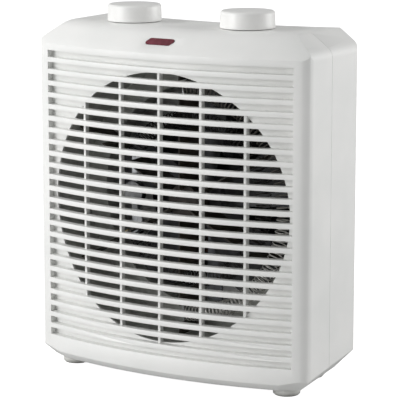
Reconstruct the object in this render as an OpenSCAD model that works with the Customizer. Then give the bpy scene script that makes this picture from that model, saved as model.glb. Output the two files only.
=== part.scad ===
// Upright fan heater with open resistance coils.
// Millimetres. +Z is up and the air outlet faces -Y.
// The origin is on the ground plane, at the middle of the overall width and depth.

/* [Casing] */
// Overall width of the casing
casing_w = 218.4; // [175:0.1:265]
// Height of the casing alone, without feet and knobs
casing_h = 243.8; // [200:0.1:300]
// Depth of the front shell, from the crown of the bow to the seam
front_shell_d = 49.9; // [46:0.1:60]
// Depth of the rear shell, from the seam to the flat back
rear_shell_d = 41.5; // [34:0.5:50]
// How far the front bows out between the two ends of the grille
bow = 14.2; // [8:0.2:20]
// Wall thickness of both shells
wall = 2.5; // [2:0.1:3.5]
// Radius of the upright front corners
front_corner_r = 9; // [6:0.5:12]
// Radius of the upright back corners
back_corner_r = 6; // [4:0.5:9]
// Drop of the sloping shoulders' lower edge below the top
shoulder_drop = 13; // [10:0.1:16]
// Slope of the shoulders, from the horizontal
shoulder_angle = 36.5; // [30:0.5:45]
// Radius that rounds the shoulders' two edges
shoulder_r = 8; // [5:0.5:12]
// Width of the hips' bevel under each side, at the grille's ends
hip_side = 7.2; // [5:0.1:9]
// Angle at which the hips' bevel widens towards the back
hip_spread = 7.5; // [4:0.5:9]
// Width of the bevel under the bowed front
toe_bevel = 5; // [3:0.1:6]
// Gap between the two shells at the seam
seam_gap = 0.3; // [0.2:0.1:0.6]

/* [Forehead] */
// Height of the sloping forehead above the grille front
forehead_h = 16.1; // [12:0.1:18]
// Slope of the forehead, from the horizontal
forehead_angle = 43; // [36:1:50]
// Radius that blends the forehead into the top
forehead_r = 20; // [10:1:26]
// How much lower the top is at its back edge
top_fall = 3.1; // [1:0.1:4]

/* [Grille] */
// Distance from one bar to the next
bar_pitch = 8.4; // [7.5:0.1:10]
// Open height between two bars
bar_gap = 5; // [4:0.1:5.8]
// Depth of the bars
bar_depth = 5.5; // [4:0.1:7]
// Thickness of the floor behind the bars, outside the outlet
floor_t = 2; // [1.5:0.1:3]
// Plain margin at each side of the grille
grille_side = 10.4; // [8:0.1:13]
// Plain height above the first slot
grille_top = 20.7; // [19:0.1:26]
// Plain height below the last slot
grille_foot = 16.4; // [12:0.1:24]
// Number of upright ribs behind the bars
rib_count = 5; // [1:2:7]
// Distance between two ribs
rib_pitch = 32.4; // [24:0.1:36]
// Thickness of a rib
rib_w = 1.85; // [1.2:0.05:3]
// How far the ribs sit back from the bar fronts
rib_back = 3.4; // [2:0.1:4]
// Solid margin between the outlet circle and the grille's end
outlet_side = 4.3; // [3:0.1:12]

/* [Controls] */
// Distance between the two knobs
knob_spacing = 91.6; // [80:0.1:110]
// Knob axis, behind the plane of the grille's ends
knob_back = 31.5; // [28:0.5:33]
// Knob diameter
knob_d = 38.3; // [30:0.1:42]
// Knob height
knob_h = 12; // [9:0.1:16]
// Gap under the knobs
knob_gap = 0.5; // [0.4:0.1:1.5]
// Knob shaft diameter
stem_d = 6; // [5:0.1:7]
// Length of the indicator lens
lens_w = 20; // [14:0.5:26]
// How far the lens sits beside the middle
lens_x = -1.4; // [-3:0.1:3]
// Height of the indicator lens along the slope
lens_h = 5.6; // [4.6:0.1:6.4]

/* [Air path] */
// Radial gap between the outlet's edge and the duct's bore
duct_ease = 1; // [0.5:0.1:3]
// Thickness of the sheet duct
duct_t = 1.2; // [0.8:0.1:2]
// End of the duct, behind the plane of the grille's ends
duct_back = 46; // [44:0.5:50]
// Step from the duct's bore in to the fan tunnel's bore
tunnel_step = 15.5; // [8:0.5:20]
// Length of the fan tunnel
tunnel_l = 20; // [18:0.5:26]
// Wall of the fan tunnel
tunnel_t = 1.5; // [1.2:0.1:2.5]
// Gap between the blade tips and the tunnel
tip_gap = 3.5; // [2.5:0.1:6]
// Number of fan blades
blade_count = 5; // [3:1:7]
// Fan hub diameter
hub_d = 30; // [26:1:36]
// Blade pitch
blade_pitch = 22; // [14:1:24]

/* [Element] */
// Outside diameter of a heating coil
coil_d = 12; // [8:0.5:13]
// Gap between the outer coil and the duct
coil_wall_gap = 9.5; // [7:0.5:12]
// Step from the outer coil in to the inner coil
coil_step = 23; // [18:0.5:26]
// Thickness of a mica card
card_t = 0.8; // [0.5:0.1:1.2]
// Depth of a mica card along the air path
card_l = 28; // [26:0.5:30]

/* [Motor] */
// Motor shaft diameter
shaft_d = 4; // [3:0.1:5]
// Rotor diameter
rotor_d = 23.4; // [20:0.1:26]
// Air gap between rotor and stator
air_gap = 0.5; // [0.3:0.1:0.8]
// Thickness of the lamination stack
stack_t = 12; // [10:0.5:16]

/* [Back and base] */
// Side margin of the raised intake panel
intake_side = 23.2; // [22:0.1:30]
// Height of the raised panel's foot above the casing's bottom
intake_foot = 28.6; // [26:0.1:36]
// Drop of the raised panel's head below the casing's top
intake_head = 30.4; // [28:0.1:44]
// Radius of the slotted intake field
intake_r = 66; // [50:1:70]
// Distance from one intake slot to the next
slot_pitch = 8; // [7:0.5:10]
// Height of an intake slot
slot_h = 4; // [3:0.1:4.8]
// Foot diameter
foot_d = 19; // [14:0.2:20]
// Foot height under the casing
foot_h = 5.4; // [4:0.1:10]
// Bore of the cord inlet bush
inlet_d = 7.2; // [6:0.1:8]

/* [Hidden] */

$fn = 96;
eps = 0.05;       // overshoot of a cut
far = 400;        // longer than any piece
seat = 0.05;      // gap where one piece rests on another
slip = 0.05;      // radial clearance of a running shaft
ease = 0.3;       // clearance between neighbours that don't touch

// Colours
white_c = "#f1f1ef";
grey_c = "#5b5c58";
steel_c = "#a9abad";
black_c = "#2b2b2b";
mica_c = "#b9a98c";
brass_c = "#c2a45c";

// Depth, worked back from the pieces that stand behind each other
mount_t = 1.2;
bracket_t = 1.2;
bush_l = 4;
tunnel_back = duct_back + tunnel_l;
mount_back = tunnel_back + mount_t;
bracket_back = mount_back + bracket_t;
stack_front = bracket_back + bush_l + 1;
stack_back = stack_front + stack_t;
rear_bracket = stack_back + 3;
shaft_back = rear_bracket + bracket_t + 1.4;
intake_inner = shaft_back + 2;
intake_outer = intake_inner + wall;
overall_d = bow + intake_outer;
end_y = -overall_d / 2 + bow;               // plane of the grille's two ends
seam_y = end_y - bow + front_shell_d;
back_y = seam_y + rear_shell_d;

// Heights
base_z = foot_h;
top_z = base_z + casing_h;
crease_z = top_z - forehead_h;
bar_count = floor((casing_h - grille_top - grille_foot + bar_pitch - bar_gap) / bar_pitch);
grille_h = bar_count * bar_pitch - (bar_pitch - bar_gap);
grille_top_z = top_z - grille_top;
outlet_z = grille_top_z - grille_h / 2;

// Plan of the bowed front: one large arc about an upright axis
half_w = casing_w / 2;
grille_half = half_w - grille_side;
bow_r = (grille_half * grille_half + bow * bow) / (2 * bow);
bow_y = end_y - bow + bow_r;
floor_back = bar_depth + floor_t;

// Round air path
outlet_r = min(grille_half, grille_h / 2 - 4) - outlet_side;
duct_r = outlet_r + duct_ease;
duct_out = duct_r + duct_t;
tunnel_r = duct_r - tunnel_step;
tunnel_out = tunnel_r + tunnel_t;
fan_r = tunnel_r - tip_gap;
flange_out = tunnel_out + 6.5;
plate_out = duct_out + 3.5;
post_r = 4.5;
post_pcd = duct_out + post_r + 1.8;
screw_r = 1.45;
pilot_r = 1.5;
head_r = 3.1;
head_h = 2.2;

// Heating element
outer_r = duct_r - coil_wall_gap - coil_d / 2;
inner_r = outer_r - coil_step;
card_front = duct_back - 2 - card_l;
outer_coil_y = card_front + 8;
inner_coil_y = card_front + 20;
hub_r = 12;
tab_t = 0.8;

// Controls, hung under the top
knob_y = end_y + knob_back;
knob_x = knob_spacing / 2;
knob_z = top_z + knob_gap;
bracket_top = top_z - wall - 2;
plate_t = 1.2;
plate_under = bracket_top - plate_t;
switch_h = 17;
switch_r = 15.5;
stem_r = stem_d / 2;
stem_flat = stem_r - 1;
stem_foot = plate_under - switch_h + 2;
stem_top = knob_z + knob_h - 2.4;

// Feet, screws and cord inlet
foot_r = foot_d / 2;
hip_back = hip_side + (back_y - end_y) * tan(hip_spread);
foot_front_x = half_w - hip_side - foot_r - 5.5;
foot_back_x = half_w - hip_back - foot_r - 3.4;
foot_front_y = end_y + foot_r + 6;
foot_back_y = back_y - foot_r - 2;
boss_r = 4.5;
boss_edge = wall + 6.5;                     // clear space between a boss and the casing's outside
boss_x = half_w - boss_edge - boss_r;
boss_low = base_z + hip_back - boss_edge + wall * sqrt(2) + boss_r + 1.2;
boss_high = top_z - shoulder_drop - boss_edge;
screw_seat_y = seam_y + 9;
inlet_x = foot_back_x - 19;
inlet_z = base_z + 13;
bush_out = inlet_d / 2 + 2.6;
deck_z = base_z + wall;

// ---------- helpers ----------

// A round bar along Y, between two depths
module rod_y(y0, y1, r, x = 0, z = 0) {
    translate([x, y1, z]) rotate([90, 0, 0]) cylinder(h = y1 - y0, r = r);
}

// A ring along Y, centred on the fan's axis unless placed
module ring_y(y0, y1, r_out, r_in, x = 0, z = outlet_z) {
    difference() {
        rod_y(y0, y1, r_out, x, z);
        rod_y(y0 - eps, y1 + eps, r_in, x, z);
    }
}

// A block from its two opposite corners
module block(lo, hi) {
    translate(lo) cube(hi - lo);
}

// Children turned about the fan's axis: X runs outward, Z runs across
module at_angle(a) {
    translate([0, 0, outlet_z]) rotate([0, -a, 0]) children();
}

// A flat outline drawn in X and Z, with thickness from y0 to y1
module sheet_y(y0, y1) {
    translate([0, y1, 0]) rotate([90, 0, 0]) linear_extrude(y1 - y0) children();
}

module rounded_rect(x0, z0, x1, z1, r) {
    translate([x0 + r, z0]) square([x1 - x0 - 2 * r, z1 - z0]);
    translate([x0, z0 + r]) square([x1 - x0, z1 - z0 - 2 * r]);
    for (x = [x0 + r, x1 - r], z = [z0 + r, z1 - r]) translate([x, z]) circle(r);
}

// Everything outside a plane that rises outward by slope, facing turn degrees from X, on both sides
module facet_cuts(x, y, z, turn, slope, side) {
    for (s = [-1, 1]) translate([s * x, y, z]) rotate([0, 0, s > 0 ? turn : 180 - turn])
        rotate([0, -slope, 0]) translate([-far / 2, -far / 2, side - far]) cube(far);
}

// ---------- casing ----------

// Plan of the casing's sides and corners, drawn inside the true outline by the two insets.
// The bowed profile trims its front, and the corner rounds stand a hair proud of that trim.
corner_proud = 0.05;

// Point on the ground line of the bevel that cuts the two front corners underneath
toe_x = 16.4;
toe_y = 5.2;

module casing_plan(side, front) {
    w = half_w - side;
    r = bow_r - front;
    rc = max(front_corner_r - side, 1);
    rb = max(back_corner_r - side, 1);
    xc = w - rc;
    yc = bow_y - sqrt(pow(r - rc + corner_proud, 2) - xc * xc);
    xt = xc * r / (r - rc);
    back = back_y - side;
    translate([-xt, end_y - bow - 1]) square([2 * xt, back - end_y + bow + 1 - rb]);
    translate([-w, yc]) square([2 * w, back - rb - yc]);
    translate([-w + rb, yc]) square([2 * (w - rb), back - yc]);
    for (s = [-1, 1]) {
        translate([s * xc, yc]) circle(rc);
        translate([s * (w - rb), back - rb]) circle(rb);
    }
}

// Half profile of the bowed body, turned about the bow's upright axis
module bow_profile(side, front) {
    r = bow_r - front;
    slope = tan(forehead_angle);
    crease = crease_z - side * (1 / cos(forehead_angle) - slope);
    top = top_z - side;
    corner = r - (top - crease) / slope;
    cut = forehead_r * tan(forehead_angle / 2);
    blend = [for (i = [0 : 6]) let (a = forehead_angle * (1 - i / 6))
        [corner - cut + forehead_r * sin(a), top - forehead_r * (1 - cos(a))]];
    fall = top_fall / rear_shell_d * 1.4;
    flat_end = bow_r - front_shell_d - rear_shell_d * 0.3;
    toe = toe_bevel - side * (2 - sqrt(2));
    polygon(concat(
        [[0, base_z + side], [r - toe, base_z + side], [r, base_z + side + toe], [r, crease]],
        blend,
        [[flat_end, top], [0, top - fall * flat_end]]
    ));
}

// Front view of the casing with its two sloping shoulders, their edges rounded
module shoulder_outline(side) {
    w = half_w - side;
    top = top_z - side;
    edge_z = top_z - shoulder_drop - side * (1 / cos(shoulder_angle) - tan(shoulder_angle));
    flat_w = w - (top - edge_z) / tan(shoulder_angle);
    r = shoulder_r - side;
    steep = 90 - shoulder_angle;
    low = [w - r, edge_z - r * tan(steep / 2)];
    high = [flat_w - r * tan(shoulder_angle / 2), top - r];
    right = concat(
        [for (i = [0 : 6]) let (a = steep * i / 6) [low[0] + r * cos(a), low[1] + r * sin(a)]],
        [for (i = [0 : 4]) let (a = steep + shoulder_angle * i / 4) [high[0] + r * cos(a), high[1] + r * sin(a)]]);
    left = [for (i = [len(right) - 1 : -1 : 0]) [-right[i][0], right[i][1]]];
    polygon(concat([[-w, base_z + side], [w, base_z + side]], right, left));
}

// The whole casing as one solid, shrunk by a side and a front inset
module casing_solid(side, front) {
    difference() {
        intersection() {
            translate([0, 0, base_z]) linear_extrude(casing_h) casing_plan(side, front);
            sheet_y(end_y - bow - 1, back_y + 1) shoulder_outline(side);
            translate([0, bow_y, 0]) rotate([0, 0, 180]) rotate_extrude(angle = 360, $fn = 360)
                bow_profile(side, front);
        }
        facet_cuts(half_w - hip_side, end_y, base_z, hip_spread, 45, side);
        facet_cuts(half_w - toe_x, end_y + toe_y, base_z, -60, 43, side);
    }
}

// Hollow of the casing: thin walls, but a thick front where the grille is
module casing_hollow() {
    casing_solid(wall, floor_back);
    intersection() {
        casing_solid(wall, wall);
        block([-half_w, -far, crease_z], [half_w, far, top_z]);
    }
}

module slots() {
    for (i = [0 : bar_count - 1]) {
        z = grille_top_z - i * bar_pitch;
        block([-grille_half, -far, z - bar_gap], [grille_half, 0, z]);
    }
}

// Ring-shaped layer behind the bowed front, between two depths
module bow_layer(d0, d1) {
    translate([0, bow_y, 0]) difference() {
        cylinder(h = top_z, r = bow_r - d0, $fn = 360);
        translate([0, 0, -eps]) cylinder(h = top_z + 1, r = bow_r - d1, $fn = 360);
    }
}

module outlet_round(r) {
    rod_y(-far, end_y + 20, r, 0, outlet_z);
}

module ribs() {
    intersection() {
        bow_layer(rib_back, floor_back);
        outlet_round(outlet_r + 1);
        union() for (i = [0 : rib_count - 1]) {
            x = (i - (rib_count - 1) / 2) * rib_pitch;
            block([x - rib_w / 2, -far, 0], [x + rib_w / 2, 0, top_z]);
        }
    }
}

// Indicator outline: a slanted box with round corners, drawn larger all round by grow
module lens_shape(grow) {
    slant = 0.9;
    corner = 1.8;
    steps = 6;
    a = lens_w / 2 - corner;
    b = lens_h / 2 - corner;
    lean = -atan(slant / b);
    turns = [[a - slant, -b, -90, lean], [a + slant, b, lean, 90],
        [-a + slant, b, 90, 180 + lean], [-a - slant, -b, 180 + lean, 270]];
    polygon([for (t = turns, i = [0 : steps]) let (q = t[2] + (t[3] - t[2]) * i / steps)
        [t[0] + (corner + grow) * cos(q), t[1] + (corner + grow) * sin(q)]]);
}

lens_rise = 7.4;
lens_y = end_y - bow + lens_rise / tan(forehead_angle);
lens_z = crease_z + lens_rise;

// Children drawn flat on the forehead's slope, with Z along its outward normal
module on_forehead() {
    translate([lens_x, lens_y, lens_z]) rotate([forehead_angle, 0, 0]) children();
}

module post_at(a) {
    translate([cos(a) * post_pcd, 0, outlet_z + sin(a) * post_pcd]) children();
}

post_angles = [45, 135, 225, 315];
boss_spots = [[-boss_x, boss_low], [boss_x, boss_low], [-boss_x, boss_high], [boss_x, boss_high]];
hanger_spots = [[-knob_x - 22, 24], [0, 24], [knob_x + 22, 24]];

module front_casing() {
    color(white_c) difference() {
        union() {
            difference() {
                casing_solid(0, 0);
                casing_hollow();
                block([-far, seam_y - seam_gap / 2, -eps], [far, far, far]);
                intersection() {
                    bow_layer(-5, bar_depth);
                    slots();
                }
                intersection() {
                    outlet_round(outlet_r);
                    bow_layer(bar_depth, floor_back + 2);
                }
            }
            ribs();
            intersection() {
                casing_solid(wall / 2, bar_depth + floor_t / 2);
                union() {
                    for (a = post_angles) post_at(a) rod_y(end_y - bow, duct_back + end_y - seat, post_r);
                    for (p = boss_spots) rod_y(end_y - bow, seam_y - seam_gap / 2, boss_r, p[0], p[1]);
                    for (p = hanger_spots) translate([p[0], end_y + p[1], bracket_top])
                        cylinder(h = 20, r = 4);
                }
            }
            foot_pad(foot_front_x, foot_front_y);
        }
        for (a = post_angles) post_at(a)
            rod_y(duct_back + end_y - 14, duct_back + end_y + 1, pilot_r);
        for (p = boss_spots) rod_y(seam_y - 16, seam_y, pilot_r, p[0], p[1]);
        for (p = hanger_spots) translate([p[0], end_y + p[1], bracket_top - eps])
            cylinder(h = 3.4, r = 1.2);
        for (s = [-1, 1]) translate([s * knob_x, knob_y, top_z - 10]) cylinder(h = 20, r = stem_r + 1);
        on_forehead() translate([0, 0, -12]) linear_extrude(20) lens_shape(0.15);
        foot_bores(foot_front_x, foot_front_y);
    }
}

foot_stem = 3;

// Pads inside the shell that carry the feet's stems
module foot_pad(x, y) {
    for (s = [-1, 1]) translate([s * x, y, base_z]) cylinder(h = wall + 2, r = foot_stem + 3);
}

module foot_bores(x, y) {
    for (s = [-1, 1]) translate([s * x, y, base_z - 1]) cylinder(h = wall + 10, r = foot_stem + slip);
}

module intake_outline(inset) {
    rounded_rect(-half_w + intake_side + inset, base_z + intake_foot + inset,
        half_w - intake_side - inset, top_z - intake_head - inset, 24 - inset);
}

module intake_slots() {
    n = floor(intake_r / slot_pitch);
    intersection() {
        rod_y(0, far, intake_r, 0, outlet_z);
        difference() {
            union() for (i = [-n : n]) {
                z = outlet_z + i * slot_pitch;
                block([-intake_r, 0, z - slot_h / 2], [intake_r, far, z + slot_h / 2]);
            }
            for (x = [-30, 0, 30]) block([x - 1.5, 0, 0], [x + 1.5, far, far]);
        }
    }
}

// Lip of the rear shell that centres it inside the front shell
module seam_lip() {
    lip_t = 1.2;
    lip_l = 4;
    intersection() {
        difference() {
            casing_solid(wall + 0.2, floor_back);
            casing_solid(wall + 0.2 + lip_t, floor_back + lip_t);
        }
        block([-far, seam_y - lip_l, 0], [far, seam_y + 2, far]);
    }
    intersection() {
        difference() {
            casing_solid(wall - 0.5, floor_back);
            casing_solid(wall + 0.2 + lip_t, floor_back + lip_t);
        }
        block([-far, seam_y + seam_gap / 2, 0], [far, seam_y + 2, far]);
    }
}

module rear_casing() {
    color(white_c) difference() {
        union() {
            difference() {
                union() {
                    casing_solid(0, 0);
                    sheet_y(back_y - wall, end_y + intake_outer) intake_outline(0);
                }
                casing_hollow();
                sheet_y(back_y - wall - 1, end_y + intake_inner) intake_outline(wall);
                block([-far, -far, -eps], [far, seam_y + seam_gap / 2, far]);
            }
            seam_lip();
            filter_ring();
            intersection() {
                casing_solid(wall / 2, wall);
                for (p = boss_spots) rod_y(seam_y + seam_gap / 2, back_y, boss_r, p[0], p[1]);
            }
            foot_pad(foot_back_x, foot_back_y);
        }
        intersection() {
            intake_slots();
            block([-far, end_y + intake_inner - 1, 0], [far, far, far]);
        }
        for (p = boss_spots) {
            rod_y(screw_seat_y, back_y + 1, head_r + 0.3, p[0], p[1]);
            rod_y(seam_y - 6, back_y, screw_r + 0.3, p[0], p[1]);
        }
        for (s = [-1, 1]) translate([s * knob_x, knob_y, top_z - 10]) cylinder(h = 20, r = stem_r + 1);
        rod_y(back_y - 5, back_y + 1, bush_out + slip, inlet_x, inlet_z);
        foot_bores(foot_back_x, foot_back_y);
    }
}

// Fleece disc behind the intake slots, held in a moulded ring
filter_r = intake_r + 4;

module filter_ring() {
    ring_y(end_y + intake_inner - 2.2, end_y + intake_inner + 0.1, filter_r + 2.3, filter_r + ease);
}

module dust_filter() {
    color("#4a4b4c") rod_y(end_y + shaft_back + ease, end_y + intake_inner - ease, filter_r, 0, outlet_z);
}

module casing_screws() {
    color(steel_c) for (p = boss_spots) {
        rod_y(screw_seat_y + seat, screw_seat_y + seat + head_h, head_r, p[0], p[1]);
        rod_y(seam_y - 13, screw_seat_y + 1, screw_r, p[0], p[1]);
    }
}

module foot(x, y) {
    color("#d9d9d6") translate([x, y, 0]) {
        translate([0, 0, 1]) cylinder(h = foot_h - 1 - seat, r = foot_r);
        cylinder(h = 1.2, r = foot_r - 1);
        cylinder(h = foot_h + wall + 2 + seat, r = foot_stem);
        translate([0, 0, foot_h + wall + 2 + seat]) cylinder(h = 1.6, r = foot_stem + 1);
    }
}

module foot_front_left() { foot(-foot_front_x, foot_front_y); }
module foot_front_right() { foot(foot_front_x, foot_front_y); }
module foot_rear_left() { foot(-foot_back_x, foot_back_y); }
module foot_rear_right() { foot(foot_back_x, foot_back_y); }

// ---------- indicator ----------

module indicator_lens() {
    color("#6e303a") on_forehead() {
        translate([0, 0, -2]) linear_extrude(2.4) lens_shape(0);
        translate([0, 0, -7]) linear_extrude(5.2) square([lens_w - 8, lens_h - 2.6], center = true);
    }
}

module indicator_lamp() {
    color("#c8553d") on_forehead() translate([0, 0, -18]) cylinder(h = 10.6, r = 2.6, $fn = 48);
}

// ---------- controls ----------

module stem_section(grow) {
    intersection() {
        circle(stem_r + grow);
        translate([-far, -far]) square([2 * far, far + stem_flat + grow]);
    }
}

module knob(x) {
    rim = 1;
    skin = 1.8;
    rise = 0.5;
    r = knob_d / 2;
    color(white_c) translate([x, knob_y, knob_z]) difference() {
        union() {
            difference() {
                rotate_extrude() polygon([[0, 0], [r, 0], [r - 0.35, knob_h - rim - rise],
                    [r - 0.35 - rim, knob_h - rise], [r - 6, knob_h - rise * 0.2], [0, knob_h]]);
                translate([0, 0, -eps]) cylinder(h = knob_h - skin - rise, r = r - skin - 0.4);
            }
            cylinder(h = knob_h - skin, r = stem_r + 2.2);
        }
        translate([0, 0, -eps]) linear_extrude(stem_top - knob_z + 2 * eps) stem_section(0.02);
    }
}

module mode_knob() { knob(knob_x); }
module thermostat_knob() { knob(-knob_x); }

module stem(x) {
    color(steel_c) translate([x, knob_y, 0]) {
        translate([0, 0, stem_foot]) cylinder(h = top_z - stem_foot - 2, r = stem_r);
        translate([0, 0, stem_foot]) linear_extrude(stem_top - stem_foot) stem_section(0);
    }
}

module mode_shaft() { stem(knob_x); }
module thermostat_shaft() { stem(-knob_x); }

module mode_switch() {
    low = plate_under - switch_h;
    color(black_c) translate([knob_x, knob_y, 0]) difference() {
        union() {
            translate([0, 0, low]) cylinder(h = switch_h - seat, r = switch_r);
            translate([-9, -switch_r - 2, low + 3]) cube([18, 2 * switch_r + 4, 6]);
        }
        translate([0, 0, stem_foot - ease]) cylinder(h = far, r = stem_r + slip);
    }
}

tab_count = 4;

module switch_tabs() {
    low = plate_under - switch_h;
    color(brass_c) for (i = [0 : tab_count - 1], s = [-1, 1])
        translate([knob_x - 6.6 + i * 4, knob_y + s * 8 - 0.4, low - 6]) cube([1.2, tab_t, 6 - seat]);
}

base_w = 28;
base_l = 18;
base_low = plate_under - switch_h;

module thermostat_base() {
    color("#e4ded0") translate([-knob_x, knob_y, 0]) difference() {
        union() {
            translate([-base_w / 2, -base_l / 2, base_low]) cube([base_w, base_l, 4]);
            translate([-base_w / 2, -base_l / 2, plate_under - 3]) cube([base_w, base_l, 3 - seat]);
            translate([-base_w / 2, -base_l / 2, base_low]) cube([4, base_l, switch_h - seat]);
        }
        translate([0, 0, stem_foot - ease]) cylinder(h = far, r = stem_r + slip);
    }
}

module leaf(z, w, reach) {
    color(brass_c) translate([-knob_x, knob_y, 0]) difference() {
        translate([-base_w / 2 + 4 + seat, -w / 2, z]) cube([reach, w, 0.6]);
        translate([0, 0, z - 1]) cylinder(h = 3, r = stem_r + 0.6);
    }
}

module thermostat_bimetal() { leaf(base_low + 6.5, 12, 22); }
module thermostat_contact() { leaf(base_low + 10.5, 9, 20); }

module control_bracket() {
    y0 = end_y + 15;
    y1 = knob_y + switch_r;
    x = knob_x + 28;
    color(steel_c) translate([0, 0, plate_under]) difference() {
        block([-x, y0, 0], [x, y1, plate_t - seat]);
        for (s = [-1, 1]) translate([s * knob_x, knob_y, -1]) cylinder(h = 4, r = stem_r + 0.6);
        for (p = hanger_spots) translate([p[0], end_y + p[1], -1]) cylinder(h = 4, r = screw_r + 0.2);
    }
}

module control_screws() {
    color(steel_c) for (p = hanger_spots) translate([p[0], end_y + p[1], 0]) {
        translate([0, 0, plate_under - 1.8 - seat]) cylinder(h = 1.8, r = 2.6);
        translate([0, 0, plate_under - 1]) cylinder(h = 5, r = 1.15);
    }
}

// ---------- air path ----------

module air_duct() {
    color(grey_c) intersection() {
        ring_y(end_y - bow, end_y + duct_back - seat, duct_out, duct_r);
        bow_layer(floor_back + ease, bow_r - far / 2);
    }
}

module fan_shroud() {
    y0 = end_y + duct_back;
    y1 = end_y + tunnel_back;
    color(grey_c) difference() {
        union() {
            rod_y(y0, y0 + 1.5, plate_out, 0, outlet_z);
            for (a = post_angles) post_at(a) rod_y(y0, y0 + 1.5, post_r + 2);
            rod_y(y0, y1, tunnel_out, 0, outlet_z);
            rod_y(y1 - 1.5, y1, flange_out, 0, outlet_z);
        }
        rod_y(y0 - 1, y1 + 1, tunnel_r, 0, outlet_z);
        for (a = post_angles) post_at(a) rod_y(y0 - 1, y1, screw_r + 0.2);
        for (a = mount_angles) mount_spot(a) rod_y(y1 - 4, y1 + 1, screw_r - 0.25);
    }
}

module shroud_screws() {
    y = end_y + duct_back + 1.5 + seat;
    color(steel_c) for (a = post_angles) post_at(a) {
        rod_y(y, y + head_h, head_r);
        rod_y(y - 11, y + 1, screw_r);
    }
}

mount_angles = [0, 90, 180, 270];
mount_ring = (tunnel_out + flange_out) / 2 + 0.3;

module mount_spot(a) {
    translate([cos(a) * mount_ring, 0, outlet_z + sin(a) * mount_ring]) children();
}

motor_bolt_x = 20;

module motor_mount() {
    y0 = end_y + tunnel_back + seat;
    y1 = end_y + mount_back;
    color(steel_c) difference() {
        union() {
            rod_y(y0, y1, 28, 0, outlet_z);
            for (a = [0, 90]) at_angle(a)
                block([-flange_out, y0, -6], [flange_out, y1, 6]);
        }
        rod_y(y0 - 1, y1 + 1, 9, 0, outlet_z);
        for (a = mount_angles) mount_spot(a) rod_y(y0 - 1, y1 + 1, screw_r + 0.2);
        for (s = [-1, 1]) rod_y(y0 - 1, y1 + 1, screw_r + slip, s * motor_bolt_x, outlet_z);
    }
}

module mount_screws() {
    y = end_y + mount_back + seat;
    color(steel_c) for (a = mount_angles) mount_spot(a) {
        rod_y(y, y + 1.8, 2.4);
        rod_y(y - 3.5, y + 1, screw_r - 0.3);
    }
}

// ---------- fan and motor ----------

fan_front = end_y + duct_back + 3.5;
fan_mid = end_y + duct_back + tunnel_l / 2 + 0.3;
chord = 42;

module blade(a) {
    at_angle(a) translate([0, fan_mid, 0]) intersection() {
        rotate([blade_pitch, 0, 0]) intersection() {
            block([hub_d / 2 - 2, -0.8, -chord / 2], [fan_r, 0.8, chord / 2]);
            translate([fan_r - 31, 5, 0]) rotate([90, 0, 0]) union() {
                cylinder(h = 10, r = 33);
                translate([-30, -11, 0]) cube([40, 22, 10]);
            }
        }
        rotate([90, 0, 0]) translate([0, 0, -20]) cylinder(h = 40, r = fan_r);
    }
}

module fan_impeller() {
    color(black_c) difference() {
        union() {
            rod_y(fan_front, fan_front + 14, hub_d / 2, 0, outlet_z);
            for (i = [0 : blade_count - 1]) blade(90 + i * 360 / blade_count);
        }
        rod_y(fan_front - 1, fan_front + 20, shaft_d / 2 + 0.01, 0, outlet_z);
        rod_y(fan_front + 3, fan_front + 20, hub_d / 2 - 2, 0, outlet_z);
    }
    color(black_c) ring_y(fan_front + 2, fan_front + 13, 5, shaft_d / 2 + 0.01);
}

module fan_clip() {
    color(steel_c) ring_y(fan_front - 1 - seat, fan_front - seat, 4.5, shaft_d / 2 + 0.01);
}

module motor_shaft() {
    color(steel_c) rod_y(fan_front - 2, end_y + shaft_back, shaft_d / 2, 0, outlet_z);
}

module motor_rotor() {
    color(steel_c) ring_y(end_y + stack_front, end_y + stack_back, rotor_d / 2, shaft_d / 2 + 0.01);
}

bore_r = rotor_d / 2 + air_gap;
stack_x = 27;
leg_top = -bore_r - 4;
leg_z = -32;
stack_low = leg_z - 9;

module motor_stator() {
    y0 = end_y + stack_front;
    y1 = end_y + stack_back;
    color("#6f7274") difference() {
        block([-stack_x, y0, outlet_z + stack_low], [stack_x, y1, outlet_z + bore_r + 10]);
        rod_y(y0 - 1, y1 + 1, bore_r, 0, outlet_z);
        block([-15, y0 - 1, outlet_z + leg_z], [15, y1 + 1, outlet_z + leg_top]);
        for (s = [-1, 1]) rod_y(y0 - 1, y1 + 1, screw_r + slip, s * motor_bolt_x, outlet_z);
    }
}

module motor_coil() {
    y0 = end_y + stack_front - 3.6;
    y1 = end_y + stack_back + 3.6;
    color("#b86f3c") difference() {
        block([-14, y0, outlet_z + stack_low - 5], [14, y1, outlet_z + leg_z + 8]);
        block([-far, y0 + 3.4, outlet_z + stack_low - 0.2], [far, y1 - 3.4, outlet_z + leg_z + 0.2]);
    }
}

// Strap with a bearing boss; the boss points along Y from the strap's inner face
module motor_strap(y0, boss_y0, boss_y1, post_y0, post_y1) {
    difference() {
        union() {
            block([-stack_x, y0, outlet_z - 7], [stack_x, y0 + bracket_t, outlet_z + 7]);
            rod_y(boss_y0, boss_y1, 7, 0, outlet_z);
            for (s = [-1, 1]) rod_y(post_y0, post_y1, 3.4, s * motor_bolt_x, outlet_z);
        }
        rod_y(-far, far, bush_r, 0, outlet_z);
        for (s = [-1, 1]) rod_y(-far, far, screw_r + slip, s * motor_bolt_x, outlet_z);
    }
}

bush_r = 4.5;

module motor_front_bracket() {
    y = end_y + mount_back + seat;
    color(steel_c) motor_strap(y, y, y + bush_l, y, end_y + stack_front - seat);
}

module motor_rear_bracket() {
    y = end_y + rear_bracket;
    color(steel_c) motor_strap(y, y - 2, y + bracket_t, end_y + stack_back + seat, y + bracket_t);
}

module motor_front_bush() {
    y = end_y + mount_back + seat;
    color(brass_c) ring_y(y, y + bush_l, bush_r - seat, shaft_d / 2 + slip);
}

module motor_rear_bush() {
    y = end_y + rear_bracket;
    color(brass_c) ring_y(y - 2, y + bracket_t, bush_r - seat, shaft_d / 2 + slip);
}

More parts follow.
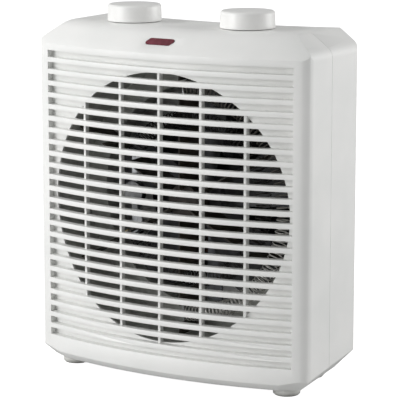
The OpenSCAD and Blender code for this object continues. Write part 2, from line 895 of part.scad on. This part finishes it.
module motor_screws() {
    y = end_y + rear_bracket + bracket_t + seat;
    color(steel_c) for (s = [-1, 1]) {
        rod_y(y, y + 1.4, 2.6, s * motor_bolt_x, outlet_z);
        rod_y(end_y + tunnel_back - 0.6, y + 1, screw_r, s * motor_bolt_x, outlet_z);
    }
}

// ---------- heating element ----------

card_count = 6;
card_step = 360 / card_count;

// One mica card, with an open notch for each coil
module mica_card(i) {
    y0 = end_y + card_front;
    y1 = y0 + card_l;
    notch = coil_d / 2 + ease;
    color(mica_c) at_angle(30 + i * card_step) difference() {
        block([hub_r - 2.6, y0, -card_t / 2], [duct_r - ease, y1, card_t / 2]);
        for (c = [[outer_r, outer_coil_y], [inner_r, inner_coil_y]]) {
            translate([c[0], end_y + c[1], -2]) cylinder(h = 4, r = notch);
            block([c[0] - notch, y0 - 1, -2], [c[0] + notch, end_y + c[1], 2]);
        }
    }
}

module mica_card_1() { mica_card(0); }
module mica_card_2() { mica_card(1); }
module mica_card_3() { mica_card(2); }
module mica_card_4() { mica_card(3); }
module mica_card_5() { mica_card(4); }
module mica_card_6() { mica_card(5); }

module element_hub() {
    y0 = end_y + card_front + 6;
    color("#e4ded0") difference() {
        rod_y(y0, y0 + 16, hub_r, 0, outlet_z);
        for (i = [0 : card_count - 1]) at_angle(30 + i * card_step)
            block([hub_r - 3, y0 - 1, -card_t / 2 - 0.1], [hub_r + 5, y0 + 20, card_t / 2 + 0.1]);
    }
}

// Envelope of a coil that runs round the fan's axis from angle a0 to a1
module coil_ring(r, y, a0, a1) {
    translate([0, end_y + y, outlet_z]) rotate([90, 0, 0]) rotate([0, 0, a0])
        rotate_extrude(angle = a1 - a0) translate([r, 0]) difference() {
            circle(coil_d / 2, $fn = 48);
            circle(coil_d / 2 - 0.8, $fn = 48);
        }
}

outer_end = 90 - asin((card_t / 2 + tab_t + 0.6) / outer_r);
inner_end = 150 - asin((card_t / 2 + tab_t + 0.6) / inner_r);

module outer_coil() { color("#8d8a86") coil_ring(outer_r, outer_coil_y, -outer_end, outer_end); }
module inner_coil() { color("#8d8a86") coil_ring(inner_r, inner_coil_y, -inner_end, inner_end); }

// Tabs riveted to the cards where the coils end: card angle, side, radius, depth
coil_ends = [[90, -1, outer_r, outer_coil_y], [270, 1, outer_r, outer_coil_y],
    [150, -1, inner_r, inner_coil_y], [210, 1, inner_r, inner_coil_y]];

module coil_terminals() {
    color(brass_c) for (e = coil_ends) at_angle(e[0]) {
        z0 = e[1] > 0 ? card_t / 2 + seat : -card_t / 2 - seat - tab_t;
        block([e[2] - 5, end_y + e[3] - 4, z0], [e[2] + 5, end_y + card_front + card_l - 1, z0 + tab_t]);
    }
}

strap_y = end_y + inner_coil_y + 3;

module cutout_strap() {
    reach = inner_r * sin(30) - 4 * tan(30) - 1.2;
    color(steel_c) block([-inner_r * cos(30) - 4, strap_y, outlet_z - reach],
        [-inner_r * cos(30) + 4, strap_y + 0.8, outlet_z + reach]);
}

module thermal_cutout() {
    x = -inner_r * cos(30);
    color("#d8d9da") {
        rod_y(strap_y - 6 - seat, strap_y - seat, 8, x, outlet_z);
        for (s = [-1, 1]) block([x - 2.4, strap_y - 3.4, outlet_z + s * 10 - 4],
            [x + 2.4, strap_y - 2.6, outlet_z + s * 10 + 4]);
    }
}

module thermal_fuse() {
    color("#c9b48a") at_angle(210) translate([inner_r + 7, end_y + inner_coil_y + 4, -card_t / 2 - 2])
        rotate([0, 90, 0]) cylinder(h = 11, r = 1.8, $fn = 48);
}

// ---------- mains connections ----------

block_x1 = inlet_x - 14;
block_x0 = block_x1 - 36;
block_y0 = end_y + 50;
block_y1 = end_y + 66;
block_top = deck_z + 14;

module terminal_block() {
    color("#ded8c4") difference() {
        block([block_x0, block_y0, deck_z + seat], [block_x1, block_y1, block_top]);
        for (i = [0 : 2]) translate([block_x0 + 6 + i * 12, 0, 0]) {
            rod_y(block_y0 - 1, block_y1 + 1, 1.8, 0, deck_z + 5);
            translate([0, (block_y0 + block_y1) / 2, deck_z + 7]) cylinder(h = 20, r = 2.2);
        }
    }
}

module cord_bush() {
    y = back_y;
    color(black_c) difference() {
        union() {
            rod_y(y + seat, y + 2.5, bush_out + 1.8, inlet_x, inlet_z);
            rod_y(y - 7, y + 2, bush_out, inlet_x, inlet_z);
            rod_y(y - 6, y - wall - seat, bush_out + 1.4, inlet_x, inlet_z);
        }
        rod_y(y - 8, y + 4, inlet_d / 2, inlet_x, inlet_z);
    }
}

clamp_y = end_y + 56;
clamp_l = 8;

module cord_clamp() {
    top = inlet_z + inlet_d / 2 + 2.4;
    color(black_c) difference() {
        block([inlet_x - 12, clamp_y, deck_z + seat], [inlet_x + 12, clamp_y + clamp_l, top]);
        rod_y(clamp_y - 1, clamp_y + clamp_l + 1, inlet_d / 2, inlet_x, inlet_z);
        for (s = [-1, 1]) translate([inlet_x + s * 8.5, clamp_y + clamp_l / 2, deck_z])
            cylinder(h = 40, r = screw_r - 0.15);
    }
}

module clamp_screws() {
    top = inlet_z + inlet_d / 2 + 2.4;
    color(steel_c) for (s = [-1, 1]) translate([inlet_x + s * 8.5, clamp_y + clamp_l / 2, 0]) {
        translate([0, 0, top + seat]) cylinder(h = 1.8, r = 2.6);
        translate([0, 0, deck_z + 1]) cylinder(h = top - deck_z, r = screw_r - 0.2);
    }
}

// A lead that follows straight runs, each a little longer than its span so that the elbows close
module lead(path) {
    r = 1.1;
    for (i = [0 : len(path) - 2]) {
        v = path[i + 1] - path[i];
        l = norm(v);
        translate(path[i]) rotate([0, acos(v[2] / l), atan2(v[1], v[0])]) translate([0, 0, -r / 2])
            cylinder(h = l + r, r = r, $fn = 8);
    }
}

lead_y = end_y + 54;
lead_x = half_w - wall - 5;
lead_low = boss_low + boss_r + 9;
lead_high = boss_high - boss_r - 9;

module live_lead() {
    color("#7a4a2a") lead([
        [block_x1 - 6, block_y0 - 6, deck_z + 5], [block_x1 + 6, lead_y - 12, deck_z + 12],
        [lead_x, lead_y, lead_low], [lead_x, lead_y, lead_high],
        [knob_x + 26, knob_y + 14, base_low - 4], [knob_x + 6.2, knob_y + 12.4, base_low - 4]
    ]);
}

module neutral_lead() {
    color("#3f5f8f") lead([
        [block_x0 + 6, block_y0 - 6, deck_z + 5], [block_x0 - 6, lead_y - 12, deck_z + 12],
        [-lead_x, lead_y, lead_low], [-lead_x, lead_y, lead_high],
        [-knob_x - 24, knob_y + 14, base_low - 3], [-knob_x, knob_y + 13, base_low - 3]
    ]);
}

// ---------- nodes ----------

front_casing();
rear_casing();
indicator_lens();
indicator_lamp();
mode_knob();
thermostat_knob();
mode_shaft();
thermostat_shaft();
mode_switch();
switch_tabs();
thermostat_base();
thermostat_bimetal();
thermostat_contact();
control_bracket();
control_screws();
air_duct();
fan_shroud();
shroud_screws();
fan_impeller();
fan_clip();
motor_shaft();
motor_rotor();
motor_stator();
motor_coil();
motor_front_bracket();
motor_rear_bracket();
motor_front_bush();
motor_rear_bush();
motor_mount();
motor_screws();
mount_screws();
mica_card_1();
mica_card_2();
mica_card_3();
mica_card_4();
mica_card_5();
mica_card_6();
element_hub();
outer_coil();
inner_coil();
coil_terminals();
thermal_cutout();
cutout_strap();
thermal_fuse();
terminal_block();
cord_bush();
cord_clamp();
clamp_screws();
casing_screws();
live_lead();
neutral_lead();
dust_filter();
foot_front_left();
foot_front_right();
foot_rear_left();
foot_rear_right();
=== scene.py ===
import math

import bmesh
import bpy
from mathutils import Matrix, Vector


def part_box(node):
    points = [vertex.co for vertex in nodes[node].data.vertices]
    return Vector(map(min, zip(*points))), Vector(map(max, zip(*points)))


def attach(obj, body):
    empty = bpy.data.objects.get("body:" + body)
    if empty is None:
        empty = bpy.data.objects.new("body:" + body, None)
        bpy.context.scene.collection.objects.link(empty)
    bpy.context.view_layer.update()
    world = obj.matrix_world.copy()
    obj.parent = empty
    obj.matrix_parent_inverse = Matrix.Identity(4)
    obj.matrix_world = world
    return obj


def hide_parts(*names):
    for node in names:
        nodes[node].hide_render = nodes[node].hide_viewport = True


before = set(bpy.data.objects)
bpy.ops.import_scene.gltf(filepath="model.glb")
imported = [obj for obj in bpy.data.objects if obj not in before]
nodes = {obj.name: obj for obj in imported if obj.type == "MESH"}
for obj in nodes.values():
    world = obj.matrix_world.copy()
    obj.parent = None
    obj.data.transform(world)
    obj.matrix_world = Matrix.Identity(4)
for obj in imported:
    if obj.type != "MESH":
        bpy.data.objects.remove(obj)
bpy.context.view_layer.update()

MM = 0.001


# ---------------------------------------------------------------------------
# The view: a long lens that stands to the right of the heater and above it, and looks slightly down.
# No tilt sideways and no shift.

camera_place = (0.7937, -1.3269, 0.4166)
view_turn, view_drop = math.radians(30.81), math.radians(10.74)
lens_mm, sensor_mm = 199.8, 36

scene = bpy.context.scene
camera = bpy.data.objects.new("camera", bpy.data.cameras.new("camera"))
scene.collection.objects.link(camera)
scene.camera = camera
camera.data.sensor_width = sensor_mm
camera.data.lens = lens_mm
camera.location = camera_place
camera.rotation_euler = (math.radians(90) - view_drop, 0, view_turn)
camera.data.clip_start = 0.05
camera.data.clip_end = 50
scene.view_settings.view_transform = "Standard"


# ---------------------------------------------------------------------------
# Studio: white surroundings and a white floor. A large soft light stands low at the front left, a smaller
# one higher up at the left, one behind the right side for the heater's flank, and a weak one overhead.

def hex_colour(code):
    """An sRGB hex colour as linear RGBA."""
    parts = [int(code[i:i + 2], 16) / 255 for i in (1, 3, 5)]
    return [c / 12.92 if c <= 0.04045 else ((c + 0.055) / 1.055) ** 2.4 for c in parts] + [1]


def add_node(tree, kind, sockets=None, **settings):
    """Adds a node. settings are its own properties. sockets gives its inputs a value or another's output."""
    node = tree.nodes.new(kind)
    for name, value in settings.items():
        setattr(node, name, value)
    for key, value in (sockets or {}).items():
        if isinstance(value, bpy.types.NodeSocket):
            tree.links.new(value, node.inputs[key])
        else:
            node.inputs[key].default_value = value
    return node


world = bpy.data.worlds.new("white_studio")
scene.world = world
world.use_nodes = True
sky = world.node_tree
sky.nodes.clear()
path = add_node(sky, "ShaderNodeLightPath")
white = (1, 1, 1, 1)
seen = add_node(sky, "ShaderNodeBackground", {"Color": white, "Strength": 1.0})
ambient = add_node(sky, "ShaderNodeBackground", {"Color": white, "Strength": 0.41})
choice = add_node(sky, "ShaderNodeMixShader",
                  {0: path.outputs["Is Camera Ray"], 1: ambient.outputs[0], 2: seen.outputs[0]})
add_node(sky, "ShaderNodeOutputWorld", {"Surface": choice.outputs[0]})


heater_middle = 130 * MM


def soft_light(name, turn, height, distance, size, power):
    """A square area light aimed at the heater's middle. turn 0 is in front of it and 90 at its right."""
    lamp = bpy.data.objects.new(name, bpy.data.lights.new(name, "AREA"))
    scene.collection.objects.link(lamp)
    lamp.data.size = size
    lamp.data.energy = power
    turn, height = math.radians(turn), math.radians(height)
    away = Vector((math.sin(turn) * math.cos(height), -math.cos(turn) * math.cos(height), math.sin(height)))
    aim = Vector((0, 0, heater_middle))
    lamp.location = aim + away * distance
    lamp.rotation_euler = away.to_track_quat("Z", "Y").to_euler()


soft_light("key_front_left", -34, 10, 1.7, 0.8, 12)
soft_light("key_high_left", -62, 32, 1.6, 0.3, 7)
soft_light("flank_right", 128, 14, 1.5, 0.9, 10)
soft_light("overhead", 0, 85, 1.5, 1.2, 0.5)

floor = bpy.data.objects.new("floor", bpy.data.meshes.new("floor"))
scene.collection.objects.link(floor)
sheet = bmesh.new()
floor_half = 3
bmesh.ops.create_grid(sheet, x_segments=1, y_segments=1, size=floor_half)
# a hair below the feet, so that their soles don't flicker with it
floor_drop = 0.2 * MM
bmesh.ops.translate(sheet, vec=(0, 0, -floor_drop), verts=sheet.verts)
sheet.to_mesh(floor.data)
sheet.free()

# seamless paper: matt and lit until it is nearly white, so that only faint shadows show under the feet
paper = bpy.data.materials.new("pale_paper_sweep")
paper.use_nodes = True
sweep = paper.node_tree
sweep.nodes.clear()
plain = add_node(sweep, "ShaderNodeBsdfDiffuse", {"Color": hex_colour("#c8c8c8")})
lit = add_node(sweep, "ShaderNodeEmission", {"Color": white, "Strength": 0.96})
ray = add_node(sweep, "ShaderNodeLightPath")
both = add_node(sweep, "ShaderNodeAddShader", {0: plain.outputs[0], 1: lit.outputs[0]})
shown = add_node(sweep, "ShaderNodeMixShader",
                 {0: ray.outputs["Is Camera Ray"], 1: plain.outputs[0], 2: both.outputs[0]})
add_node(sweep, "ShaderNodeOutputMaterial", {"Surface": shown.outputs[0]})
floor.data.materials.append(paper)


# ---------------------------------------------------------------------------
# Casing shells: injection-moulded white polypropylene with a fine satin spark finish.
# Front and rear shell are screwed together from behind, with a thin shadow line at the seam.

def new_material(name, colour, roughness, metallic=0.0, ior=1.5):
    """A material with one Principled shader, and its tree."""
    material = bpy.data.materials.new(name)
    material.use_nodes = True
    tree = material.node_tree
    shader = tree.nodes["Principled BSDF"]
    shader.inputs["Base Color"].default_value = hex_colour(colour)
    shader.inputs["Roughness"].default_value = roughness
    shader.inputs["Metallic"].default_value = metallic
    if not metallic:
        shader.inputs["IOR"].default_value = ior
    return material, tree, shader


def object_place(tree, scale=(1, 1, 1)):
    """Object coordinates in millimetres, stretched by scale."""
    place = add_node(tree, "ShaderNodeTexCoord")
    size = [s / MM for s in scale]
    return add_node(tree, "ShaderNodeMapping", {"Vector": place.outputs["Object"], "Scale": size}).outputs[0]


def mottle(tree, vector, period, detail=3.0):
    """Noise whose patches are about period millimetres across when vector is in millimetres."""
    sockets = {"Vector": vector, "Scale": 1 / period, "Detail": detail}
    return add_node(tree, "ShaderNodeTexNoise", sockets).outputs["Fac"]


def spread(tree, value, low, high, start=0.3, end=0.7):
    """Stretches a noise value to run from low to high."""
    sockets = {"Value": value, "From Min": start, "From Max": end, "To Min": low, "To Max": high}
    return add_node(tree, "ShaderNodeMapRange", sockets).outputs[0]


def two_tones(tree, shader, value, dark, light):
    """Base colour that runs from dark to light with value."""
    # in a mix of colours, sockets 6 and 7 are the two colours and output 2 is the result
    mix = add_node(tree, "ShaderNodeMix", {0: value, 6: hex_colour(dark), 7: hex_colour(light)},
                   data_type="RGBA")
    tree.links.new(mix.outputs[2], shader.inputs["Base Color"])


def relief(tree, shader, height, depth):
    """Bump from a height value, with its full depth in millimetres."""
    bump = add_node(tree, "ShaderNodeBump", {"Height": height, "Distance": depth * MM, "Strength": 1.0})
    tree.links.new(bump.outputs[0], shader.inputs["Normal"])


def moulded_white(name, dark, light, rough_low, rough_high):
    """White polypropylene: nearly even colour, fine eroded grain, faint flow mottling in the gloss."""
    shade_patch, gloss_patch, grain, grain_depth = 45, 9, 0.9, 0.02
    material, tree, shader = new_material(name, light, rough_low, ior=1.49)
    place = object_place(tree)
    two_tones(tree, shader, spread(tree, mottle(tree, place, shade_patch), 0, 1), dark, light)
    rough = spread(tree, mottle(tree, place, gloss_patch), rough_low, rough_high)
    tree.links.new(rough, shader.inputs["Roughness"])
    # the real grain is about 0.3 mm and would not show, so it is drawn at 0.9 mm
    relief(tree, shader, mottle(tree, place, grain, 2), grain_depth)
    return material


# satin from the eroded tool: soft broad highlights and no sharp reflections
casing_white = moulded_white("polypropylene_satin_white", "#ecedeb", "#f4f4f2", 0.36, 0.46)


def soften(piece, width):
    """Rounds a CAD node's edges as the mould does, by width in millimetres, leaving its own mesh alone."""
    weld = piece.modifiers.new("weld", "WELD")
    weld.merge_threshold = 0.01 * MM
    bevel = piece.modifiers.new("bevel", "BEVEL")
    bevel.width = width * MM
    bevel.segments = 2
    bevel.limit_method = "ANGLE"
    bevel.angle_limit = math.radians(25)
    bevel.use_clamp_overlap = True
    bevel.harden_normals = False


def dress(name, material):
    """Gives a CAD node its material."""
    piece = nodes[name]
    piece.data.materials.clear()
    piece.data.materials.append(material)
    return piece


edge_round = 0.5
for shell in ("front_casing", "rear_casing"):
    soften(dress(shell, casing_white), edge_round)


# ---------------------------------------------------------------------------
# Indicator lens: dark red tinted acrylic, moulded and pressed into the forehead from inside,
# with a neon lamp behind it.

# tinted clear plastic over a dark hollow: deep, nearly opaque red with a sharp highlight
lens_red, tree, shader = new_material("acrylic_dark_red_tint", "#6b2430", 0.12, ior=1.49)
place = object_place(tree)
two_tones(tree, shader, spread(tree, mottle(tree, place, 5), 0, 1), "#5c1e29", "#7a3340")
# moulded prisms on the lens's back, 1.2 mm apart, show through as faint lines. A wave texture of
# scale 1 has a band every pi / 10.
prism_pitch = 1.2
prisms = add_node(tree, "ShaderNodeTexWave",
                  {"Vector": place, "Scale": math.pi / 10 / prism_pitch, "Distortion": 0.2},
                  wave_type="BANDS", bands_direction="X")
relief(tree, shader, prisms.outputs["Fac"], 0.03)
shader.inputs["Coat Weight"].default_value = 0.4
dress("indicator_lens", lens_red)

# thin clear glass round orange electrodes
neon_glass, tree, shader = new_material("neon_lamp_glass", "#e0a080", 0.08, ior=1.5)
shader.inputs["Transmission Weight"].default_value = 0.6
place = object_place(tree)
two_tones(tree, shader, spread(tree, mottle(tree, place, 3), 0, 1), "#c98560", "#eab090")
dress("indicator_lamp", neon_glass)


# ---------------------------------------------------------------------------
# Knobs: the same white plastic as the casing, moulded smoother, pushed onto flatted steel shafts.

# the knobs' tool is finer, so they are a little glossier than the shells
knob_white = moulded_white("polypropylene_smooth_white", "#eeeeec", "#f5f5f3", 0.28, 0.36)
for knob in ("mode_knob", "thermostat_knob"):
    soften(dress(knob, knob_white), edge_round)


# ---------------------------------------------------------------------------
# Controls under the top: black switch body with brass tabs, steatite thermostat base with its leaves,
# and the zinc-plated sheet bracket that holds both.

def brushed(name, dark, light, roughness, line=0.35, grain=(1, 1, 18)):
    """Plated or drawn metal: lines about line millimetres apart, stretched by grain, and patchy gloss."""
    material, tree, shader = new_material(name, light, roughness, metallic=1.0)
    lines = object_place(tree, [1 / g for g in grain])
    place = object_place(tree)
    two_tones(tree, shader, spread(tree, mottle(tree, place, 7), 0, 1), dark, light)
    gloss = spread(tree, mottle(tree, lines, line * 4), roughness - 0.08, roughness + 0.12)
    tree.links.new(gloss, shader.inputs["Roughness"])
    relief(tree, shader, mottle(tree, lines, line * 2, 2), 0.01)
    return material


def cast_matt(name, dark, light, roughness, grain, depth):
    """A matt moulded, pressed or fired surface with a grain and its depth in millimetres."""
    material, tree, shader = new_material(name, light, roughness)
    place = object_place(tree)
    two_tones(tree, shader, spread(tree, mottle(tree, place, grain * 8), 0, 1), dark, light)
    tree.links.new(spread(tree, mottle(tree, place, grain * 3), roughness - 0.08, roughness + 0.08),
                   shader.inputs["Roughness"])
    relief(tree, shader, mottle(tree, place, grain, 2), depth)
    return material


# bluish-white plating with rolling lines, brighter and smoother on screws
zinc_sheet = brushed("zinc_plated_sheet_steel", "#9a9c9f", "#c0c2c4", 0.34)
screw_steel = brushed("bright_plated_screw_steel", "#a8a9ab", "#d0d1d2", 0.24)
# compression-moulded: dull black with a trace of grain
black_phenolic = cast_matt("phenolic_matt_black", "#161616", "#232323", 0.5, 0.8, 0.02)
# stamped strip: yellow brass, and the paler bimetal
brass_sheet = brushed("brass_sheet_plain", "#a98a45", "#cdb06a", 0.3)
bimetal_sheet = brushed("bimetal_strip_rolled", "#9d9484", "#beb49f", 0.34)
# fired and unglazed: chalky cream white
steatite_white = cast_matt("steatite_unglazed", "#d8d2c2", "#e9e4d8", 0.62, 0.7, 0.03)

for name in ("mode_shaft", "thermostat_shaft", "control_bracket"):
    dress(name, zinc_sheet)
dress("mode_switch", black_phenolic)
dress("control_screws", screw_steel)
for name in ("switch_tabs", "thermostat_contact"):
    dress(name, brass_sheet)
dress("thermostat_bimetal", bimetal_sheet)
dress("thermostat_base", steatite_white)


# ---------------------------------------------------------------------------
# Air duct and fan tunnel: sheet steel, rolled and spot-welded, with a light grey baked enamel.
# A disc of fleece behind them keeps dust out of the intake.

# baked enamel: an even light grey with a low gloss, which looks dark in the shade behind the bars
duct_grey = cast_matt("baked_enamel_light_grey", "#b2b3ae", "#c6c7c2", 0.45, 1.2, 0.02)
for name in ("air_duct", "fan_shroud"):
    dress(name, duct_grey)
dress("shroud_screws", screw_steel)

# needle-felted polyester: dark, matt and fibrous, with a soft sheen of loose hairs
filter_fleece, tree, shader = new_material("polyester_fleece_dark_grey", "#3c3d3f", 0.92, ior=1.5)
place = object_place(tree)
two_tones(tree, shader, spread(tree, mottle(tree, place, 1.4), 0, 1), "#2c2d2f", "#48494b")
relief(tree, shader, mottle(tree, place, 0.8, 4), 0.25)
shader.inputs["Sheen Weight"].default_value = 0.3
dress("dust_filter", filter_fleece)


# ---------------------------------------------------------------------------
# Fan and motor: grey glass-filled impeller on a steel shaft, shaded-pole motor with stacked laminations,
# copper winding, pressed bearing brackets and sintered bushes, carried by a sheet spider.

# glass-filled nylon: dull grey, with a faint roughness from the fibres
fan_grey = cast_matt("nylon_glass_filled_grey", "#4c4d4f", "#5e5f61", 0.42, 0.9, 0.02)
# punched laminations, 0.5 mm thick, seen on edge as fine dark lines
lamination_steel = brushed("laminations_stacked_steel", "#4c4e50", "#6d6f71", 0.45, line=0.5,
                           grain=(14, 1, 14))
# the winding is dipped in varnish, which leaves the copper a dull dark brown
winding_copper = brushed("copper_winding_varnished", "#2e211a", "#4a3426", 0.4, line=0.6, grain=(12, 1, 1))
# the motor's own sheet parts: a dull dark grey, which is painted shade inside the duct
motor_steel_painted_shade = brushed("steel_sheet_dark_grey_painted_shade", "#55575a", "#727477", 0.42)
# sintered bronze soaked in oil: dull and brown
bush_bronze = cast_matt("bronze_sintered_oiled", "#6e4c2a", "#8f6840", 0.4, 0.4, 0.02)


def spread_blade(mesh, root, tip, angle, middle, axis_z):
    """Adds one twisted, cambered blade to mesh: a grid laid out by radius and chord, then thickened."""
    half_chord_root, half_chord_tip = 11 * MM, 21 * MM
    pitch_root, pitch_tip = math.radians(34), math.radians(19)
    camber, thickness = 2 * MM, 1.6 * MM
    blade = bmesh.ops.create_grid(mesh, x_segments=14, y_segments=10, size=1)["verts"]
    for vert in blade:
        out = (vert.co.x + 1) / 2
        across = vert.co.y
        radius = root + (tip - root) * out
        # the blade is at its widest from two thirds of the way out, and its tip narrows a little
        half_chord = half_chord_root + (half_chord_tip - half_chord_root) * min(1, out * 1.5)
        half_chord *= 1 - max(0, out - 0.7)
        pitch = pitch_root + (pitch_tip - pitch_root) * out
        turn = angle + across * half_chord * math.cos(pitch) / radius
        depth = middle + across * half_chord * math.sin(pitch) - camber * (1 - across * across) + camber / 2
        vert.co = (radius * math.cos(turn), depth, axis_z + radius * math.sin(turn))
    faces = list(dict.fromkeys(face for vert in blade for face in vert.link_faces))
    bmesh.ops.solidify(mesh, geom=faces, thickness=thickness)


def finish_mesh(name, mesh, material, body, replaced):
    bmesh.ops.recalc_face_normals(mesh, faces=mesh.faces)
    data = bpy.data.meshes.new(name)
    mesh.to_mesh(data)
    mesh.free()
    piece = bpy.data.objects.new(name, data)
    scene.collection.objects.link(piece)
    data.materials.append(material)
    data.set_sharp_from_angle(angle=math.radians(40))
    for face in data.polygons:
        face.use_smooth = True
    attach(piece, body)
    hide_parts(replaced)


def turned(mesh, profile, axis_z):
    """Spins a closed profile of (depth, radius) points about the fan's axis."""
    ring = [mesh.verts.new((radius, depth, axis_z)) for depth, radius in profile]
    edges = [mesh.edges.new((ring[i], ring[(i + 1) % len(ring)])) for i in range(len(ring))]
    bmesh.ops.spin(mesh, geom=ring + edges, cent=(0, 0, axis_z), axis=(0, 1, 0), angle=2 * math.pi,
                   steps=48, use_merge=True)


fan_low, fan_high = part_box("fan_impeller")
clip_low, clip_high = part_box("fan_clip")
axis_z = (clip_low[2] + clip_high[2]) / 2
hub_front = clip_high[1] + 0.05 * MM
# the hub is a cup, open to the rear, round a neck that takes the shaft, with a rounded front edge
hub_radius, hub_length, hub_wall, hub_floor = 15 * MM, 14 * MM, 2 * MM, 3 * MM
hub_bore, hub_neck, hub_neck_end = 2.01 * MM, 5 * MM, 13 * MM
round_full, round_part = 2 * MM, 0.6 * MM
hub_outline = [(0, hub_bore), (0, hub_radius - round_full), (round_part, hub_radius - round_part),
               (round_full, hub_radius), (hub_length, hub_radius), (hub_length, hub_radius - hub_wall),
               (hub_floor, hub_radius - hub_wall), (hub_floor, hub_neck), (hub_neck_end, hub_neck),
               (hub_neck_end, hub_bore)]
impeller = bmesh.new()
turned(impeller, [(hub_front + depth, radius) for depth, radius in hub_outline], axis_z)
blades, tip_radius, blade_sunk = 5, 76.4 * MM, 1 * MM
for i in range(blades):
    spread_blade(impeller, hub_radius - blade_sunk, tip_radius, math.radians(90 + i * 360 / blades),
                 (fan_low[1] + fan_high[1]) / 2, axis_z)
finish_mesh("fan_moulded", impeller, fan_grey, "fan", "fan_impeller")
for name in ("fan_clip", "motor_shaft", "motor_screws", "mount_screws"):
    dress(name, screw_steel)
for name in ("motor_rotor", "motor_stator"):
    dress(name, lamination_steel)
dress("motor_coil", winding_copper)
for name in ("motor_front_bracket", "motor_rear_bracket", "motor_mount"):
    dress(name, motor_steel_painted_shade)
for name in ("motor_front_bush", "motor_rear_bush"):
    dress(name, bush_bronze)


# ---------------------------------------------------------------------------
# Heating element: two open coils of nickel-chromium wire, wound on a mandrel and threaded through
# notched mica cards that stand round a stoneware hub, with plated steel tabs at the ends. A cut-out on a
# strap and a thermal fuse guard it.

# pressed mica flakes in resin, browned by heat: dark, with a soft flaky relief
mica_board = cast_matt("mica_board_pressed", "#3c3830", "#524c42", 0.45, 1.6, 0.03)
# fired, unglazed and matt; its dark brown is painted shade for the hub deep inside the duct
hub_painted_shade_brown = cast_matt("stoneware_painted_shade_brown", "#2a2420", "#3a322c", 0.6, 0.7, 0.03)
for i in range(1, 7):
    dress("mica_card_%d" % i, mica_board)
dress("element_hub", hub_painted_shade_brown)
dress("coil_terminals", zinc_sheet)


def wire_painted_by_height(name, dark, light, low, high):
    """Drawn wire with painted light and shade: light below the height low, in millimetres, and painted darker
    up to the height high.
    """
    material, tree, shader = new_material(name, light, 0.34, metallic=0.45)
    place = object_place(tree)
    rise = add_node(tree, "ShaderNodeSeparateXYZ", {"Vector": place}).outputs["Z"]
    two_tones(tree, shader, spread(tree, rise, 1, 0, low, high), dark, light)
    tree.links.new(spread(tree, mottle(tree, place, 3), 0.26, 0.4), shader.inputs["Roughness"])
    return material


# Painted light and shade on the outer coil: its lower turns are painted bright as if lit, and its upper turns
# painted grey as if in shade.
# The inner coil is painted dark grey all round as painted shade, a little darker towards the top.
outer_wire_painted_lit_below = wire_painted_by_height("nickel_chromium_wire_painted_lit_below", "#7d7974", "#fbf9f5", 112, 140)
inner_wire_painted_shade = wire_painted_by_height("nickel_chromium_wire_painted_shade", "#3c3a38", "#4c4a47", 60, 190)


def helix(name, start, end, pitch, wire, material):
    """A round coil of wire bent along a circle, from one angle to another, inside its CAD envelope."""
    low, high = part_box(name)
    axis_z = (low[2] + high[2]) / 2
    depth = (low[1] + high[1]) / 2
    half = (high[1] - low[1]) / 2
    ring = (high[2] - low[2]) / 2 - half
    radius = half - wire
    turns = int(ring * math.radians(end - start) / pitch)
    steps = 14
    curve = bpy.data.curves.new(name + "_wire", "CURVE")
    curve.dimensions = "3D"
    curve.bevel_depth = wire
    curve.bevel_resolution = 1
    curve.use_fill_caps = True
    spline = curve.splines.new("POLY")
    spline.points.add(turns * steps)
    for i in range(turns * steps + 1):
        share = i / (turns * steps)
        around = math.radians(start + (end - start) * share)
        twist = 2 * math.pi * turns * share
        out = ring + radius * math.cos(twist)
        spline.points[i].co = (out * math.cos(around), depth + radius * math.sin(twist),
                               axis_z + out * math.sin(around), 1)
    piece = bpy.data.objects.new(name + "_wire", curve)
    scene.collection.objects.link(piece)
    curve.materials.append(material)
    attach(piece, "casing")
    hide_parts(name)


wire_radius, turn_pitch = 0.42 * MM, 2.9 * MM
helix("outer_coil", -89, 89, turn_pitch, wire_radius, outer_wire_painted_lit_below)
helix("inner_coil", -148, 148, turn_pitch, wire_radius, inner_wire_painted_shade)

# drawn aluminium in a dull dark grey that is painted shade, and an unglazed buff ceramic tube
cap_aluminium_painted_shade = brushed("aluminium_cap_painted_shade", "#6e6f70", "#8a8b8c", 0.4)
fuse_ceramic = cast_matt("fuse_body_buff", "#b5a680", "#cdbf9a", 0.5, 0.6, 0.02)
dress("thermal_cutout", cap_aluminium_painted_shade)
dress("cutout_strap", zinc_sheet)
dress("thermal_fuse", fuse_ceramic)


# ---------------------------------------------------------------------------
# Mains side: cream terminal block, rubber inlet bush, cord clamp and leads in silicone sleeves, screwed
# or pressed into the rear shell.

# compression-moulded cream, matt black rubber, and sleeves in the two mains colours with a dry sheen
block_cream = cast_matt("urea_moulding_cream", "#d6cfb8", "#e6e0cc", 0.42, 0.8, 0.02)
rubber_black = cast_matt("rubber_moulded_black", "#1a1a1a", "#262626", 0.6, 0.7, 0.03)
sleeve_brown = cast_matt("silicone_sleeve_brown", "#4a2c1c", "#5f3b27", 0.5, 0.6, 0.02)
sleeve_blue = cast_matt("silicone_sleeve_blue", "#2c4674", "#3b5a90", 0.5, 0.6, 0.02)
dress("terminal_block", block_cream)
dress("cord_bush", rubber_black)
dress("cord_clamp", black_phenolic)
dress("clamp_screws", screw_steel)
dress("casing_screws", screw_steel)
dress("live_lead", sleeve_brown)
dress("neutral_lead", sleeve_blue)


# ---------------------------------------------------------------------------
# Feet: off-white rubber studs, moulded with a neck and pushed into the casing's bottom.

# grey-white rubber, darker over the lowest 3 mm
foot_rubber, tree, shader = new_material("rubber_stud_off_white", "#dcdcd8", 0.55, ior=1.5)
place = object_place(tree)
rise = add_node(tree, "ShaderNodeSeparateXYZ", {"Vector": place}).outputs["Z"]
two_tones(tree, shader, spread(tree, rise, 0, 1, 0.0, 3.0), "#8a8a86", "#dcdcd8")
relief(tree, shader, mottle(tree, place, 0.8, 2), 0.03)
for corner in ("front_left", "front_right", "rear_left", "rear_right"):
    soften(dress("foot_" + corner, foot_rubber), 0.4)
